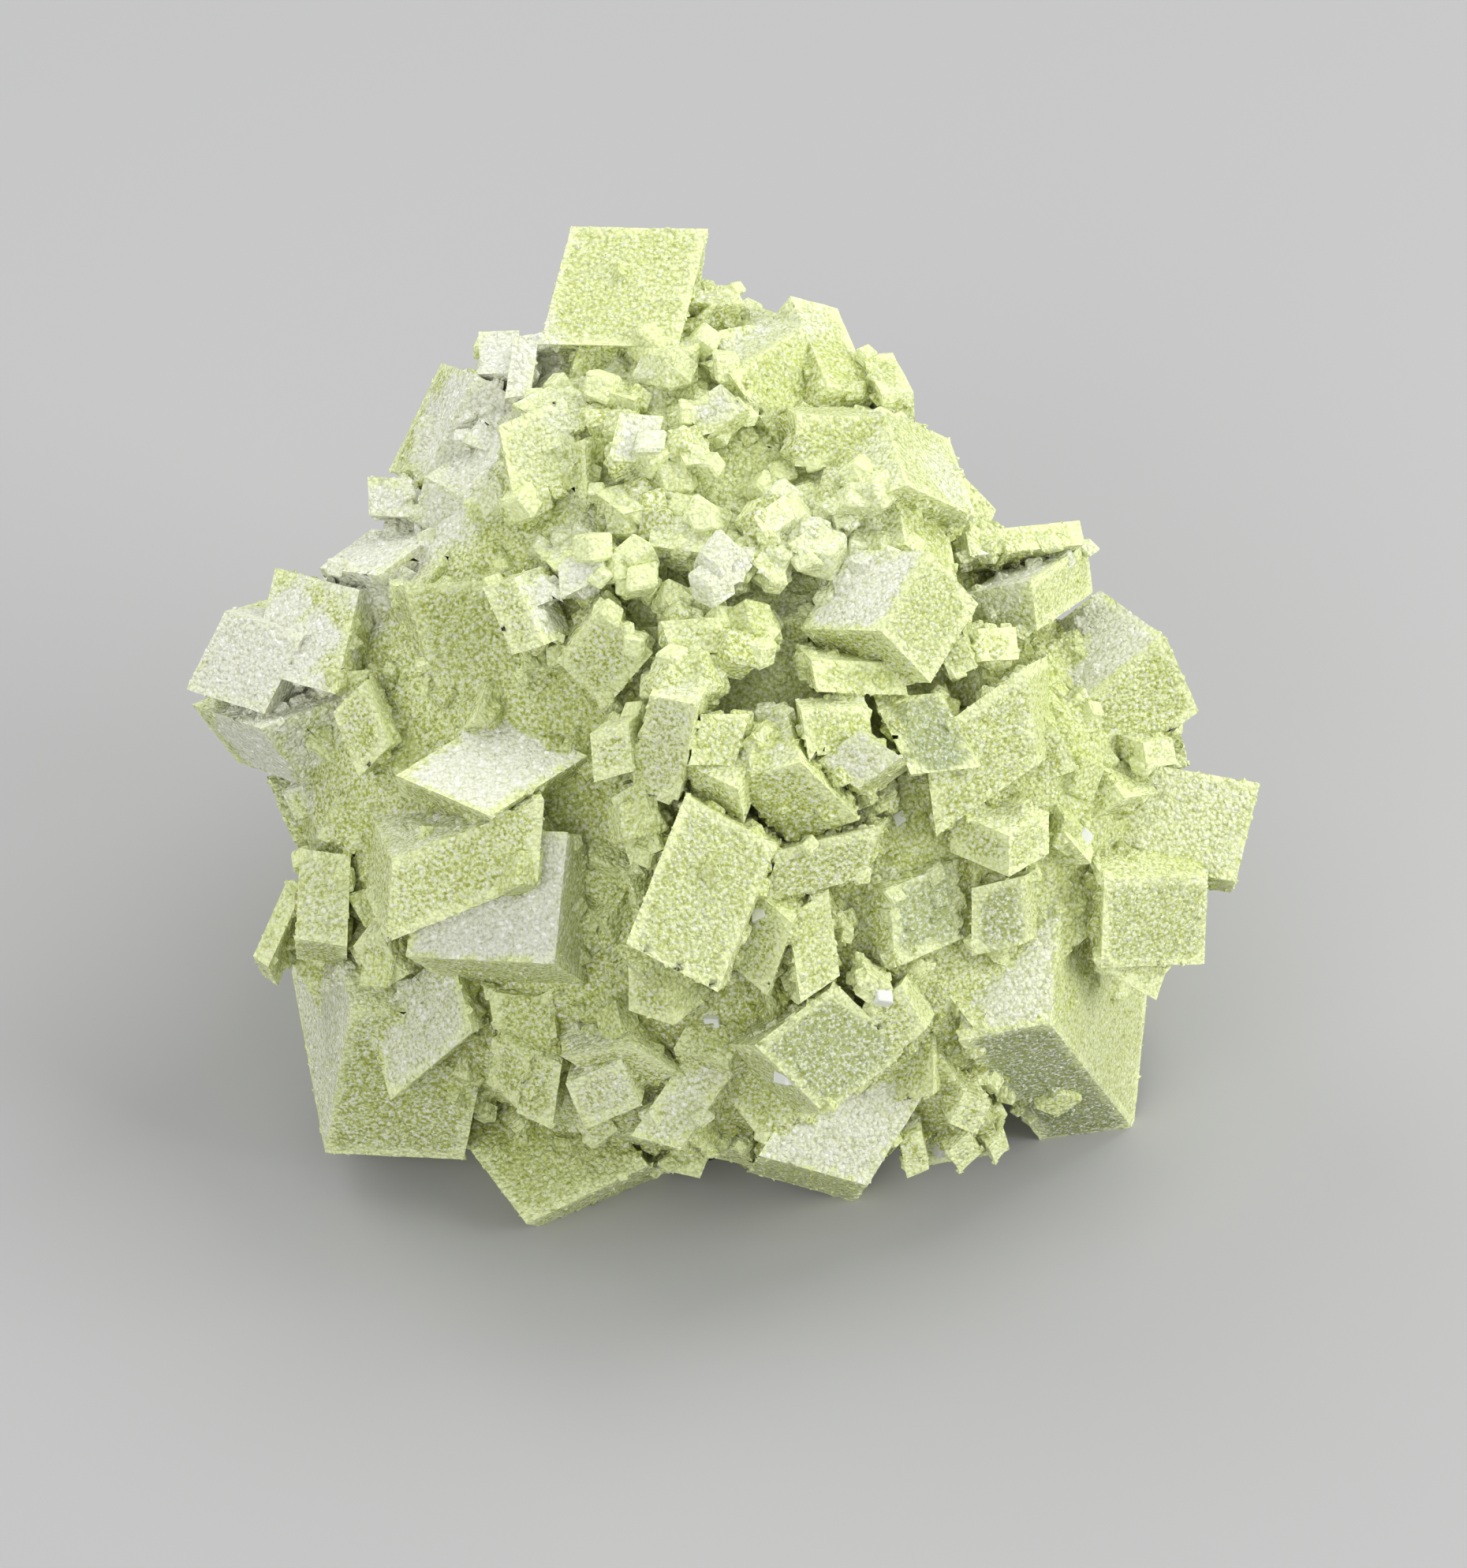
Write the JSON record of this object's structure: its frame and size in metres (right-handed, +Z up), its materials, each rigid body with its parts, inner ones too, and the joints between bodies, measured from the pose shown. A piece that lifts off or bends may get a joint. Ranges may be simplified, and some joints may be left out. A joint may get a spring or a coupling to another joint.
{
  "type": "mineral specimen",
  "caption": "Free-standing mineral specimen: a mass of intergrown rhombohedral crystals crusted with fine yellow-green duftite, cut flat underneath so that it rests on a shelf",
  "frame": {"origin": "middle of the bounding box at the flat base", "axes": "+X along the widest extent, left to right as the picture shows the front; +Y from the front to the back; +Z up"},
  "size_m": [0.0496, 0.0386, 0.0369],
  "materials": {
    "duftite_crust": "sugary crust of tiny yellow-green crystals, frosted white on the upward faces, faintly translucent"
  },
  "bodies": {
    "root": {"crystal_cluster": "duftite_crust"}
  },
  "joints": []
}
